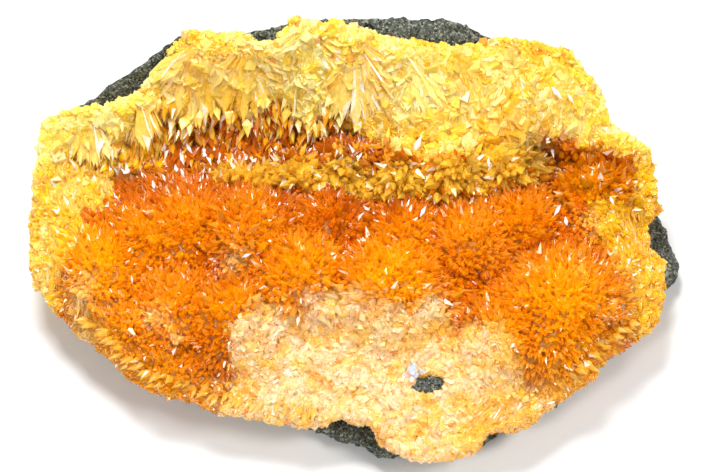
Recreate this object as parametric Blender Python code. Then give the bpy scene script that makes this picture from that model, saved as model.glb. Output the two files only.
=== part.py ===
"""An orange calcite crystal cluster: a crust of dogtooth calcite on its dark host rock.

The rock is a slab with a flat broken underside, low in front and rising to a wall at the back.
The crust lines it: rounded mounds of orange crystals in front, a hollow behind them on the left,
and the broken edge of the lining at the back, where fans of long crystals run down from the rim.
Places are in millimetres, with X to the right, Y away from the front and Z up, and MM makes them metres.
"""

import math
import random

import bmesh
import bpy
from mathutils import Matrix, Vector, geometry, noise

MM = 0.001

# Outlines seen from above, anticlockwise from the right-hand end
CRUST_OUTLINE = [
    (56.5, -5), (54, 0.5), (53.5, 5), (56, 7.5), (55, 11), (54.4, 16), (53, 18.5), (49, 21), (46.5, 22.5),
    (45.5, 27), (43, 31), (39, 33.5), (33, 34.8), (27, 35.2), (22, 34.5), (16, 33.8), (9, 33.5), (4, 34.5),
    (1, 36.5), (-3, 37), (-9, 37.8), (-12.5, 37.8), (-14.5, 34), (-18.5, 33.6), (-20.5, 35.8), (-27, 36.2),
    (-31.5, 36.2), (-34.8, 33.6), (-38.3, 29), (-42, 26.6), (-46, 25.4), (-50, 25), (-54.3, 24.6),
    (-58, 23), (-59.2, 19.5), (-59, 16), (-60, 12), (-60, 5), (-59.3, -2), (-59, -5.5), (-56.8, -9.5),
    (-53, -13.6), (-51, -16.5), (-47.5, -18.8), (-44.2, -21.8), (-41, -25.4), (-35, -28.6), (-30, -29.8),
    (-27, -31.5), (-20, -32.5), (-12, -34), (-6, -34.5), (-2, -32.5), (2.5, -34), (6, -39), (10, -41.2),
    (17, -41), (20.5, -39.3), (23.5, -36.3), (28.5, -35.3), (32, -33.2), (35.5, -30.2), (39.2, -28),
    (42.3, -25.7), (45, -22), (49.2, -18.8), (52.8, -16.3), (55, -13),
]
ROCK_OUTLINE = [
    (60.5, -0.5), (58.5, -4), (55, -8), (51, -13), (45, -20), (40, -25), (33, -30), (27, -32.5),
    (24, -35.5), (20, -37.5), (14, -38), (9, -38.6), (4, -38), (-1, -36), (-4.5, -34.5), (-12, -31.5),
    (-22, -29.5), (-32, -26), (-40, -22), (-46, -17), (-51, -11), (-54, -4), (-56, 4), (-57.5, 12),
    (-59.5, 19), (-59, 24.5), (-55.5, 28), (-50, 29.4), (-44.5, 31.6), (-40, 33.6), (-36.5, 35.4), (-31, 37.5),
    (-24, 37.2), (-17, 37.8), (-11, 39), (-4, 39.5), (3, 40), (10, 40), (17, 39.5), (22, 38), (27, 36),
    (33, 35.5), (39, 34), (43.5, 31.5), (46.5, 26.5), (50, 20.5), (54, 15), (57, 9.5), (58.5, 5),
]

# Height of the crust's outer edge, by direction in degrees round the outline
CRUST_EDGE = [(0, 12), (20, 19), (35, 23), (55, 27), (80, 30), (110, 30), (130, 27), (150, 21), (156, 20), (165, 15.5),
              (180, 12), (200, 10.5), (340, 10.5)]
CRUST_EDGE_BLEND = (0.84, 1.04)

# Mounds of radiating crystals: centre, radius and height of the top
MOUNDS = [
    (-47, -7, 8.5, 19.5), (-44, -18.5, 7.5, 18), (-30.5, 1.5, 7.5, 21), (-35, -27, 8, 15.5),
    (-20, 0.5, 8, 22), (-23, -16, 7.5, 20), (-10.5, -8, 8, 21), (-5, 3, 6.5, 20), (6.5, -10, 9, 21),
    (9, 0, 7, 20), (21, -1.5, 8, 21), (31, 3, 7, 20.5), (37, -14, 10, 21.5), (44.5, 7.5, 8, 20),
    (26.5, -19.5, 7, 18), (42, -24, 7, 15.5), (-33, -15, 7.5, 19), (-38.5, -1, 6.5, 19.5),
]
MOUND_DROP = 4

# The lip behind the mounds, a ridge of larger golden crystals
LIP = [(-20, 11, 4.5, 17), (-11, 13, 5, 18.5), (-2, 14.5, 5.5, 20), (8, 14.5, 6, 21), (18, 14, 6, 21.5),
       (28, 13.5, 6, 21)]

# The broken back wall runs up from its foot to its rim: places and heights along the specimen
WALL_FOOT = [(-62, 14, 13), (-52, 18, 14), (-46, 20, 14.5), (-39, 23.5, 15.5), (-36, 26.5, 16.5),
             (-30.5, 23, 16), (-25.5, 27.5, 17), (-20.5, 24, 16.5), (-15, 27.5, 17.5), (-9, 23, 16.5),
             (-4, 26.5, 18), (1, 22.5, 17.5), (7, 21, 19), (14, 18, 19.5), (28, 18, 20), (36, 17, 19.5),
             (46, 17, 18), (60, 16, 16)]
WALL_RIM = [(-60, 18, 17), (-50, 24, 21), (-40, 27.5, 25), (-33, 34.5, 28), (-12, 37, 31), (6, 33.5, 30),
            (28, 34.5, 28), (40, 32.5, 25), (45, 25, 21), (56, 18, 16)]
WALL_DROP = 3.5

# Where fans of long crystals spring from, near the rim, and how far they reach
FANS = [(-50, 23, 8), (-40, 26, 8), (-30.5, 34, 11), (-20.5, 34, 10.5), (-9, 36.5, 13), (1, 33.5, 12),
        (10, 32, 12), (19, 32, 12), (28.5, 33, 13), (38, 30.5, 12)]
FAN_ANGLES = (-42, -21, 0, 21, 42)
FAN_WIDTHS = (2, 2.6)
FAN_SHOULDER = 0.6
FAN_ANGLE_SHIFT = 5

# Heights of the crust between its mounds, in the hollow behind them and in front
FLOOR = 16.5
HOLLOW_FLOOR = 12.5
HOLLOW = ((-55, 5), (11, 16))
FRONT_FLOOR = 13
FRONT = ((-28, 38), (-15, -20))
FRONT_SLOPE = 0.22

# The rock's seat for the crust: low in front, climbing behind
SEAT_FRONT = 5.5
SEAT_BACK = 28
SEAT_CLIMB = (20, 40)
SEAT_GAP = 0.8
ROCK_FOOT = 0.86
ROCK_WAIST = 0.45
ROCK_SPACING = 5.2

# How far the body of the crust lies under the faces of its crystals
ROOT_DEPTH = 1.8
THINNEST = 1.8
CRUST_FOOT = 0.96
CRUST_SPACING = 5.4

# The orange crystals: widths and buried length as shares of the height, shoulder as a share of the length
DRUSE_SPACING = 5
DRUSE_HEIGHTS = (3.6, 5.2)
DRUSE_WIDTHS = (0.54, 0.68)
DRUSE_SIDES = (3, 4, 4, 5)
DRUSE_BURIED = 0.7
DRUSE_SHOULDER = 0.36
DRUSE_LEAN = 0.16

# Low broken grains on the front of the crust
GRAIN_SPACING = 6.6
GRAIN_HEIGHTS = (1.6, 2.4)
GRAIN_WIDTHS = (1.2, 1.5)
GRAIN_BURIED = 1.5
GRAIN_SHOULDER = 0.42
GRAIN_LEAN = 0.5
GRAIN_EDGE = 0.93

# The lattice that places are taken from: its size, and each place's shift as a share of the spacing
LATTICE = (136, 92)
LATTICE_SHIFT = 0.25

# A knob of rock that shows through the thin front of the crust
KNOB_PLACE = (13.3, -27.6)
KNOB_SIZE = (2.9, 1.6)
KNOB_TOP = 10
KNOB_ROOT = 3
KNOB_SIDES = 7
KNOB_TAPER = 1.25
KNOB_ROOM = 4
ROCK_GAP = 0.35

ROCK_COLOUR = (0.09, 0.1, 0.085, 1)
CALCITE_COLOUR = (0.95, 0.42, 0.05, 1)

SEED = 11


def smooth_step(low, high, value):
    """0 before low, 1 past high, and a smooth change between; low may be the greater."""
    share = min(1, max(0, (value - low) / (high - low)))
    return share * share * (3 - 2 * share)


def smooth_max(heights, softness=0.8):
    """The greatest height, with the creases where two heights meet rounded off."""
    top = max(heights)
    return top + softness * math.log(sum(math.exp((h - top) / softness) for h in heights))


def between(table, place):
    """The values of a table of (place, value, ...) rows at a place, in straight lines between rows."""
    if place <= table[0][0]:
        return table[0][1:]
    for low, high in zip(table, table[1:]):
        if place <= high[0]:
            share = (place - low[0]) / (high[0] - low[0])
            return tuple(a + (b - a) * share for a, b in zip(low[1:], high[1:]))
    return table[-1][1:]


def by_direction(rows):
    """A table sorted by direction, with its two ends carried past each other to close the circle."""
    rows = sorted(rows)
    last, first = rows[-1], rows[0]
    return [(last[0] - 360, *last[1:])] + rows + [(first[0] + 360, *first[1:])]


def polar(outline):
    """An outline as a closed table of (direction, distance) rows."""
    return by_direction([(math.degrees(math.atan2(y, x)) % 360, math.hypot(x, y)) for x, y in outline])


CRUST_REACH = polar(CRUST_OUTLINE)
ROCK_REACH = polar(ROCK_OUTLINE)
EDGE_HEIGHTS = by_direction(CRUST_EDGE)


def direction(x, y):
    return math.degrees(math.atan2(y, x)) % 360


def reach(table, angle):
    return between(table, angle)[0]


def lumps(x, y, z, size, depth):
    """Irregular relief: smooth noise of one lump size, depth high and deep."""
    return depth * noise.noise(Vector((x, y, z)) / size)


def mound_height(mound, x, y):
    cx, cy, radius, top = mound
    return top - MOUND_DROP * ((x - cx) ** 2 + (y - cy) ** 2) / radius**2


def wall_height(x, y):
    """The back wall: a broken face from its foot to its rim, with a sheer drop in front of the foot."""
    foot_y, foot_z = between(WALL_FOOT, x)
    rim_y, rim_z = between(WALL_RIM, x)
    climb = (y - foot_y) / max(6, rim_y - foot_y)
    if climb < 0:
        return foot_z + WALL_DROP * (y - foot_y)
    return foot_z + (rim_z - foot_z) * min(climb, 1.1) ** 0.85


def floor_height(x, y):
    """The crust between its mounds: lower in the hollow behind them and on the broken front."""
    hollow = smooth_step(HOLLOW[0][1] + 6, HOLLOW[0][1], x) * smooth_step(*HOLLOW[1], y)
    front = smooth_step(FRONT[0][0] - 6, FRONT[0][0], x) * smooth_step(FRONT[0][1] + 6, FRONT[0][1], x)
    front *= smooth_step(*FRONT[1], y)
    height = FLOOR + (HOLLOW_FLOOR - FLOOR) * hollow + (FRONT_FLOOR - FLOOR) * front
    return height - FRONT_SLOPE * max(0, FRONT[1][1] - y)


def crust_top(x, y):
    """Height of the crust's upper surface: the mounds, the lip, the back wall and the broken front."""
    heights = [mound_height(mound, x, y) for mound in MOUNDS + LIP]
    height = smooth_max(heights + [wall_height(x, y), floor_height(x, y)])
    angle = direction(x, y)
    share = math.hypot(x, y) / reach(CRUST_REACH, angle)
    edge = between(EDGE_HEIGHTS, angle)[0]
    return height + (edge - height) * smooth_step(*CRUST_EDGE_BLEND, share)


def seat(x, y):
    """Height of the surface where the crust sits on the rock."""
    return SEAT_FRONT + (SEAT_BACK - SEAT_FRONT) * smooth_step(*SEAT_CLIMB, y)


def along(outline, spacing):
    """An outline walked round in even steps of about the spacing, keeping its corners' places."""
    places = []
    for (x0, y0), (x1, y1) in zip(outline, outline[1:] + outline[:1]):
        steps = max(1, round(math.hypot(x1 - x0, y1 - y0) / spacing))
        for k in range(steps):
            places.append(Vector((x0 + (x1 - x0) * k / steps, y0 + (y1 - y0) * k / steps)))
    return places


def lattice(spacing, rng):
    """A jittered triangular lattice of places over the whole specimen."""
    rise = spacing * 0.87
    for j in range(int(LATTICE[1] / rise)):
        for i in range(int(LATTICE[0] / spacing)):
            x = (i + 0.5 * (j % 2) + rng.uniform(-LATTICE_SHIFT, LATTICE_SHIFT)) * spacing - LATTICE[0] / 2
            y = (j + rng.uniform(-LATTICE_SHIFT, LATTICE_SHIFT)) * rise - LATTICE[1] / 2
            yield x, y


def filled(rim, spacing, rng):
    """Triangles that fill a closed rim, with a jittered lattice of places inside it."""
    table = polar([tuple(p) for p in rim])
    inside = [
        Vector((x, y))
        for x, y in lattice(spacing, rng)
        if math.hypot(x, y) < reach(table, direction(x, y)) - 0.55 * spacing
    ]
    loop = [(k, (k + 1) % len(rim)) for k in range(len(rim))]
    points, _, faces, origin, _, _ = geometry.delaunay_2d_cdt(rim + inside, loop, [], 1, 1e-6)
    order = {old[0]: new for new, old in enumerate(origin) if old}
    return points, faces, [order[k] for k in range(len(rim))]


def closed_body(name, outline, spacing, top, waist, bottom, foot):
    """A body in an outline: a top and an underside that are height fields, and broken sides.

    top, waist and bottom are functions of the place in plan; the foot is the underside's share of
    the outline, and the sides bulge a little at the waist.
    """
    rng = random.Random(SEED)
    rim = along(outline, spacing)
    bm = bmesh.new()
    points, faces, upper_order = filled(rim, spacing, rng)
    verts = [bm.verts.new(Vector((x, y, top(x, y))) * MM) for x, y in points]
    for face in faces:
        bm.faces.new([verts[k] for k in face])
    upper = [verts[k] for k in upper_order]
    points, faces, lower_order = filled([p * foot for p in rim], 1.1 * spacing, rng)
    verts = [bm.verts.new(Vector((x, y, bottom(x, y))) * MM) for x, y in points]
    for face in faces:
        bm.faces.new([verts[k] for k in face])
    lower = [verts[k] for k in lower_order]
    middle = []
    for x, y in rim:
        z = waist(x, y)
        swell = 1.01 + abs(lumps(x, y, z, 5, 0.03))
        middle.append(bm.verts.new(Vector((x * swell, y * swell, z)) * MM))
    for high, low in ((upper, middle), (middle, lower)):
        for k in range(len(rim)):
            n = (k + 1) % len(rim)
            bm.faces.new((high[k], high[n], low[n], low[k]))
    bmesh.ops.triangulate(bm, faces=bm.faces[:])
    bmesh.ops.recalc_face_normals(bm, faces=bm.faces[:])
    return object_from(bm, name)


def object_from(bm, name):
    mesh = bpy.data.meshes.new(name)
    bm.to_mesh(mesh)
    bm.free()
    obj = bpy.data.objects.new(name, mesh)
    bpy.context.scene.collection.objects.link(obj)
    return obj


def make_rock():
    """The host rock: flat underneath, its sides broken, its top the crust's seat."""

    def top(x, y):
        return seat(x, y) - SEAT_GAP - abs(lumps(x, y, 0, 7, 1.2))

    def waist(x, y):
        return ROCK_WAIST * seat(x, y)

    return closed_body("matrix_rock", ROCK_OUTLINE, ROCK_SPACING, top, waist, lambda x, y: 0, ROCK_FOOT)


def make_crust_body():
    """The crust without its crystals: mounds, hollow, back wall and low front, on the rock's seat."""

    def top(x, y):
        return max(crust_top(x, y) - ROOT_DEPTH + lumps(x, y, 5, 4, 0.9), seat(x, y) + THINNEST)

    def waist(x, y):
        return 0.5 * (top(x, y) + seat(x, y))

    return closed_body("calcite_crust", CRUST_OUTLINE, CRUST_SPACING, top, waist, seat, CRUST_FOOT)


def crystal(bm, foot, tip, radius, sides, shoulder, twist, rng):
    """A dogtooth with flat faces: two points joined by an uneven ring, its lower half mostly buried.

    The ring lies at the shoulder, a share of the way from the foot to the tip.
    """
    axis = tip - foot
    turn = axis.to_track_quat("Z", "Y").to_matrix().to_4x4()
    place = Matrix.Translation(foot * MM) @ turn
    ring = []
    for k in range(sides):
        angle = twist + 2 * math.pi * (k + rng.uniform(-0.16, 0.16)) / sides
        r = radius * rng.uniform(0.82, 1.12)
        height = axis.length * (shoulder + rng.uniform(-0.04, 0.04))
        ring.append(bm.verts.new(place @ (Vector((r * math.cos(angle), r * math.sin(angle), height)) * MM)))
    low, high = bm.verts.new(foot * MM), bm.verts.new(tip * MM)
    for k in range(sides):
        n = (k + 1) % sides
        bm.faces.new((ring[k], ring[n], high))
        bm.faces.new((ring[n], ring[k], low))


def outward(x, y):
    """Which way a crystal points: away from the root of the mound that it is on."""
    mound = max(MOUNDS + LIP, key=lambda m: mound_height(m, x, y))
    cx, cy, radius, top = mound
    return Vector((x - cx, y - cy, crust_top(x, y) - top + 1.15 * radius)).normalized()


def on_druse(x, y):
    """Whether a place is on the mounds, the lip or the hollow and not on the wall or broken front."""
    foot_y = between(WALL_FOOT, x)[0]
    share = math.hypot(x, y) / reach(CRUST_REACH, direction(x, y))
    front = FRONT[0][0] < x < FRONT[0][1] and y < FRONT[1][0] - 0.12 * abs(x - 8)
    return y < foot_y and share < 0.995 and not front


def make_druse():
    """The orange crystals that stand on the mounds, along the lip and in the hollow."""
    bm = bmesh.new()
    rng = random.Random(SEED)
    for x, y in lattice(DRUSE_SPACING, rng):
        if on_druse(x, y):
            axis = outward(x, y) + Vector((rng.gauss(0, DRUSE_LEAN), rng.gauss(0, DRUSE_LEAN), 0))
            height = rng.uniform(*DRUSE_HEIGHTS)
            surface = Vector((x, y, crust_top(x, y) - ROOT_DEPTH))
            tip = surface + axis * height
            foot = surface - axis * height * DRUSE_BURIED
            sides = rng.choice(DRUSE_SIDES)
            radius = height * rng.uniform(*DRUSE_WIDTHS)
            crystal(bm, foot, tip, radius, sides, DRUSE_SHOULDER, rng.uniform(0, 6), rng)
    return object_from(bm, "druse")


def make_grains():
    """The low broken grains of the front and of the wall's rim."""
    bm = bmesh.new()
    rng = random.Random(SEED + 2)
    for x, y in lattice(GRAIN_SPACING, rng):
        share = math.hypot(x, y) / reach(CRUST_REACH, direction(x, y))
        clear_of_knob = math.hypot(x - KNOB_PLACE[0], y - KNOB_PLACE[1]) > GRAIN_SPACING
        if share < GRAIN_EDGE and y < FRONT[1][0] and clear_of_knob and not on_druse(x, y):
            height = rng.uniform(*GRAIN_HEIGHTS)
            axis = Vector((rng.gauss(0, GRAIN_LEAN), rng.gauss(0, GRAIN_LEAN), 1)).normalized()
            surface = Vector((x, y, crust_top(x, y) - ROOT_DEPTH))
            foot, tip = surface - axis * GRAIN_BURIED, surface + axis * height
            radius = height * rng.uniform(*GRAIN_WIDTHS)
            crystal(bm, foot, tip, radius, 3, GRAIN_SHOULDER, rng.uniform(0, 6), rng)
    return object_from(bm, "grains")


def make_fans():
    """Fans of long crystals that run down the back wall and end in points over the hollow."""
    bm = bmesh.new()
    rng = random.Random(SEED + 1)
    for x, y, length in FANS:
        foot = Vector((x, y, crust_top(x, y)))
        for angle in FAN_ANGLES:
            spread = math.radians(angle + rng.uniform(-FAN_ANGLE_SHIFT, FAN_ANGLE_SHIFT))
            reach_down = length * rng.uniform(0.85, 1.1)
            tip_x = x + reach_down * math.sin(spread)
            tip_y = y - reach_down * math.cos(spread)
            tip = Vector((tip_x, tip_y, crust_top(tip_x, max(tip_y, between(WALL_FOOT, tip_x)[0])) + 1))
            crystal(bm, foot, tip, rng.uniform(*FAN_WIDTHS), 4, FAN_SHOULDER, rng.uniform(0, 6), rng)
    return object_from(bm, "fans")


def grown(obj, gap):
    """A copy of a body with every face moved out by the gap, to cut room for the body."""
    bm = bmesh.new()
    bm.from_mesh(obj.data)
    bm.normal_update()
    moves = [(v, v.normal * gap * MM * v.calc_shell_factor()) for v in bm.verts]
    for v, move in moves:
        v.co += move
    return object_from(bm, "room")


def make_knob(name, swell):
    """The knob of rock, or the room for it: a tapering lump with a few sides."""
    bm = bmesh.new()
    low, high = SEAT_FRONT - KNOB_ROOT, KNOB_TOP + (KNOB_ROOM if swell else 0)
    depth = high - low
    bmesh.ops.create_cone(bm, cap_ends=True, segments=KNOB_SIDES, radius1=KNOB_TAPER, radius2=1, depth=depth)
    for v in bm.verts:
        x, y = (middle + way * (size + swell) for middle, way, size in zip(KNOB_PLACE, v.co, KNOB_SIZE))
        v.co = Vector((x, y, v.co.z + (low + high) / 2)) * MM
    return object_from(bm, name)


def keep_largest(mesh):
    """Takes away the small pockets that crystals close off where they lie side by side."""
    bm = bmesh.new()
    bm.from_mesh(mesh)
    unseen = set(bm.verts)
    bodies = []
    while unseen:
        body, edge_of_body = set(), [unseen.pop()]
        while edge_of_body:
            v = edge_of_body.pop()
            body.add(v)
            near = {e.other_vert(v) for e in v.link_edges} & unseen
            unseen -= near
            edge_of_body.extend(near)
        bodies.append(body)
    bodies.sort(key=len)
    for body in bodies[:-1]:
        bmesh.ops.delete(bm, geom=list(body), context="VERTS")
    bm.to_mesh(mesh)
    bm.free()


def combine(obj, other, operation):
    """Joins or cuts a body with another, and takes the other away."""
    boolean = obj.modifiers.new(operation.lower(), "BOOLEAN")
    boolean.object = other
    boolean.operation = operation
    boolean.solver = "EXACT"
    boolean.use_self = True
    bpy.context.view_layer.update()
    graph = bpy.context.evaluated_depsgraph_get()
    mesh = bpy.data.meshes.new_from_object(obj.evaluated_get(graph))
    keep_largest(mesh)
    obj.modifiers.clear()
    obj.data = mesh
    bpy.data.objects.remove(other)


def material(name, colour, roughness):
    made = bpy.data.materials.new(name)
    made.use_nodes = True
    shader = made.node_tree.nodes["Principled BSDF"]
    shader.inputs["Base Color"].default_value = colour
    shader.inputs["Roughness"].default_value = roughness
    made.diffuse_color = colour
    return made


def give(obj, finish):
    obj.data.materials.clear()
    obj.data.materials.append(finish)


def main():
    for obj in list(bpy.data.objects):
        bpy.data.objects.remove(obj)
    rock = make_rock()
    crust = make_crust_body()
    combine(crust, make_fans(), "UNION")
    combine(crust, make_grains(), "UNION")
    combine(crust, make_druse(), "UNION")
    combine(crust, grown(rock, ROCK_GAP), "DIFFERENCE")
    combine(crust, make_knob("knob_room", ROCK_GAP), "DIFFERENCE")
    combine(rock, make_knob("knob", 0), "UNION")
    give(rock, material("dark_rock", ROCK_COLOUR, 0.85))
    give(crust, material("orange_calcite", CALCITE_COLOUR, 0.25))


main()
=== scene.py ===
"""The looks of an orange calcite cluster on its dark rock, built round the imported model.

Places are in millimetres, as in the model's own source: X to the right, Y away from the front and Z up.
"""

import math
import random

import bpy
import numpy as np
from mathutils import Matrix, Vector

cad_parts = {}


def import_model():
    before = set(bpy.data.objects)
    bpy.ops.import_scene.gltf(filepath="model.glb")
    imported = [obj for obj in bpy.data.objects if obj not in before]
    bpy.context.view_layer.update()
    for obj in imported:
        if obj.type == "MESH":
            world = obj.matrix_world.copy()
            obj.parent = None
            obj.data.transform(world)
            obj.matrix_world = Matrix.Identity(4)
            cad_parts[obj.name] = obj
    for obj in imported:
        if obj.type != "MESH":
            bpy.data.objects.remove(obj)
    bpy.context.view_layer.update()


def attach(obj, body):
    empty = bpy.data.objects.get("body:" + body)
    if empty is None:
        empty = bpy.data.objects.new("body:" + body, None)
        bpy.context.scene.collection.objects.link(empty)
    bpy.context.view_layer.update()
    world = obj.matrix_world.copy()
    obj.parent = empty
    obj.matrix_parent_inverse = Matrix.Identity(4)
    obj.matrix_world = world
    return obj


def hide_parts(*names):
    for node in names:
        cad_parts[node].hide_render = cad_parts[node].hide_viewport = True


MM = 0.001

# Numbers of the hash that the relief is drawn from, and what brings noise to about -1 to 1
HASH_PRIMES = (73856093, 19349663, 83492791)
HASH_SEED = 6542989
HASH_ROUNDS = ((13, 1274126177), (16, 668265263))
HASH_LIMIT = 0x7FFFFFFF
DRAW_TOP = 1023
NOISE_GAIN = 1.4

# Sectors and rings of the two bodies' surfaces
ROCK_GRID = (480, 170)
CRUST_GRID = (560, 160)

# How many crystals there are: in each tuft, in each fan, along each degree of an edge, or in all
TUFT_CRYSTALS = 9
CARPET_COUNT = 15500
GOLDEN_COUNT = 2100
FAN_BLADE_COUNT = 80
FAN_FIBRE_COUNT = 150
HANGING_COUNT = 52
FRONT_GRAIN_COUNT = 14000
WALL_GRAIN_COUNT = 12000
WALL_BLOCK_COUNT = 1600
COLUMNS_A_DEGREE = 9
TEETH_A_DEGREE = 1.3

# Shape of the specimen, as in the model's source
CRUST_OUTLINE = [
    (56.5, -5), (54, 0.5), (53.5, 5), (56, 7.5), (55, 11), (54.4, 16), (53, 18.5), (49, 21), (46.5, 22.5),
    (45.5, 27), (43, 31), (39, 33.5), (33, 34.8), (27, 35.2), (22, 34.5), (16, 33.8), (9, 33.5),
    (4, 34.5), (1, 36.5), (-3, 37), (-9, 37.8), (-12.5, 37.8), (-14.5, 34), (-18.5, 33.6), (-20.5, 35.8),
    (-27, 36.2), (-31.5, 36.2), (-34.8, 33.6), (-38.3, 29), (-42, 26.6), (-46, 25.4), (-50, 25),
    (-54.3, 24.6), (-58, 23), (-59.2, 19.5), (-59, 16), (-60, 12), (-60, 5), (-59.3, -2), (-59, -5.5),
    (-56.8, -9.5), (-53, -13.6), (-51, -16.5), (-47.5, -18.8), (-44.2, -21.8), (-41, -25.4), (-35, -28.6),
    (-30, -29.8), (-27, -31.5), (-20, -32.5), (-12, -34), (-6, -34.5), (-2, -32.5), (2.5, -34), (6, -39),
    (10, -41.2), (17, -41), (20.5, -39.3), (23.5, -36.3), (28.5, -35.3), (32, -33.2), (35.5, -30.2),
    (39.2, -28), (42.3, -25.7), (45, -22), (49.2, -18.8), (52.8, -16.3), (55, -13),
]
ROCK_OUTLINE = [
    (60.5, -0.5), (58.5, -4), (55, -8), (51, -13), (45, -20), (40, -25), (33, -30), (27, -32.5),
    (24, -35.5), (20, -37.5), (14, -38), (9, -38.6), (4, -38), (-1, -36), (-4.5, -34.5), (-12, -31.5),
    (-22, -29.5), (-32, -26), (-40, -22), (-46, -17), (-51, -11), (-54, -4), (-56, 4), (-57.5, 12),
    (-59.5, 19), (-59, 24.5), (-55.5, 28), (-50, 29.4), (-44.5, 31.6), (-40, 33.6), (-36.5, 35.4),
    (-31, 37.5), (-24, 37.2), (-17, 37.8), (-11, 39), (-4, 39.5), (3, 40), (10, 40), (17, 39.5), (22, 38),
    (27, 36), (33, 35.5), (39, 34), (43.5, 31.5), (46.5, 26.5), (50, 20.5), (54, 15), (57, 9.5),
    (58.5, 5),
]
CRUST_EDGE = [
    (0, 12), (20, 19), (35, 23), (55, 27), (80, 30), (110, 30), (130, 27), (150, 21), (156, 20),
    (165, 15.5), (180, 12), (200, 10.5), (340, 10.5),
]

# Mounds of radiating crystals: centre, radius, height of the top, and how bright the middle glows
MOUNDS = [
    (-47, -7, 8.5, 19.5, 0.9), (-44, -18.5, 7.5, 18, 0.6), (-30.5, 1.5, 7.5, 21, 0.35),
    (-35, -27, 8, 15.5, 0.55), (-20, 0.5, 8, 22, 0.35), (-23, -16, 7.5, 20, 0.45),
    (-10.5, -8, 8, 21, 0.75), (-5, 3, 6.5, 20, 0.1), (6.5, -10, 9, 21, 0.95), (9, 0, 7, 20, 0.4),
    (21, -1.5, 8, 21, 0.35), (31, 3, 7, 20.5, 0.3), (37, -14, 10, 21.5, 0.9), (44.5, 7.5, 8, 20, 0.35),
    (26.5, -19.5, 7, 18, 0.6), (42, -24, 7, 15.5, 0.75), (-33, -15, 7.5, 19, 0.5),
    (-38.5, -1, 6.5, 19.5, 0.6),
]
MOUND_DROP = 4
LIP = [
    (-20, 11, 4.5, 17, 0.5), (-11, 13, 5, 18.5, 0.5), (-2, 14.5, 5.5, 20, 0.5), (8, 14.5, 6, 21, 0.5),
    (18, 14, 6, 21.5, 0.5), (28, 13.5, 6, 21, 0.5),
]
WALL_FOOT = [
    (-62, 14, 13), (-52, 18, 14), (-46, 20, 14.5), (-39, 23.5, 15.5), (-36, 26.5, 16.5), (-30.5, 23, 16),
    (-25.5, 27.5, 17), (-20.5, 24, 16.5), (-15, 27.5, 17.5), (-9, 23, 16.5), (-4, 26.5, 18),
    (1, 22.5, 17.5), (7, 21, 19), (14, 18, 19.5), (28, 18, 20), (36, 17, 19.5), (46, 17, 18),
    (60, 16, 16),
]
WALL_RIM = [
    (-60, 18, 17), (-50, 24, 21), (-40, 27.5, 25), (-33, 34.5, 28), (-12, 37, 31), (6, 33.5, 30),
    (28, 34.5, 28), (40, 32.5, 25), (45, 25, 21), (56, 18, 16),
]
WALL_DROP = 3.5
FANS = [
    (-50, 23, 8), (-40, 26, 8), (-30.5, 34, 11), (-20.5, 34, 10.5), (-9, 36.5, 13), (1, 33.5, 12),
    (10, 32, 12), (19, 32, 12), (28.5, 33, 13), (38, 30.5, 12),
]

# How softly the forms run into each other, and over which share of the way out they reach the edge's height
BLEND = 0.8
CRUST_EDGE_BLEND = (0.84, 1.04)

# Heights between the mounds, in the hollow and on the front, and where those two begin and end
FLOOR = 16.5
HOLLOW_FLOOR = 12.5
HOLLOW = ((-55, 5), (11, 16))
FRONT_FLOOR = 13
FRONT = ((-28, 38), (-15, -20))
FRONT_SLOPE = 0.22

# Where the crust sits on the rock: its height in front and at the back, and where it climbs
SEAT_FRONT = 5.5
SEAT_BACK = 28
SEAT_CLIMB = (20, 40)
SEAT_GAP = 0.8
ROCK_FOOT = 0.86
ROOT_DEPTH = 1.8
SKIN_DEPTH = 1.1
THINNEST = 1.8

# How far along each body its top ends, and then its side; the rest is the underside
CRUST_STAGES = (0.78, 0.9)
ROCK_STAGES = (0.5, 0.8)

# The knob of rock that stands through the front
KNOB_PLACE = (13.3, -27.6)
KNOB_SIZE = (2.9, 1.6)
KNOB_TOP = 10
KNOB_PIT = 2.4
KNOB_FALL = 5

# The lattice that the solid model's large crystals stand on, and the seed of their draws
LATTICE = (136, 92)
TUFT_SPACING = 5
TUFT_HEIGHTS = (3.6, 5.2)
TUFT_SEED = 11

# Where the pale broken front ends and the orange mounds begin
FRONT_LINE = [
    (-24, -40), (-22, -20), (-19.5, -14), (-10, -14), (-3, -12), (6, -16), (14, -15), (20, -16),
    (25, -21), (31, -28), (38, -33), (44, -40),
]

# How far in the yellow crystals of the left-hand and right-hand ends reach, from the front to the back
LEFT_END = [
    (-16, -57), (-12, -54.5), (-6, -54), (-3, -51), (1, -50.5), (4, -52), (6, -45.5), (10, -46.5),
    (13.5, -44.5), (15, -42.5), (17, -38), (19, -36), (24, -34),
]
RIGHT_END = [
    (-24, 54), (-16, 51.5), (-8, 48.5), (-2, 46), (2, 44), (5, 44.5), (7, 49.5), (10, 52.5), (16, 54),
]

# Where the back wall's pale crystals begin, at the left along its foot, and the line of the golden lip
WALL_LINE = [row[:2] for row in WALL_FOOT[:11]]
WALL_LINE += [(1, 21.5), (4, 18), (7, 15.5), (14, 14), (28, 14), (33, 17), (37, 19), (46, 17), (60, 16)]
LIP_LINE = [(-30, 15), (-20, 12.5), (-11, 12.5), (-2, 11.5), (8, 10.5), (18, 10.5), (28, 12), (36, 14)]
LIP_WIDTH = 3

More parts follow.
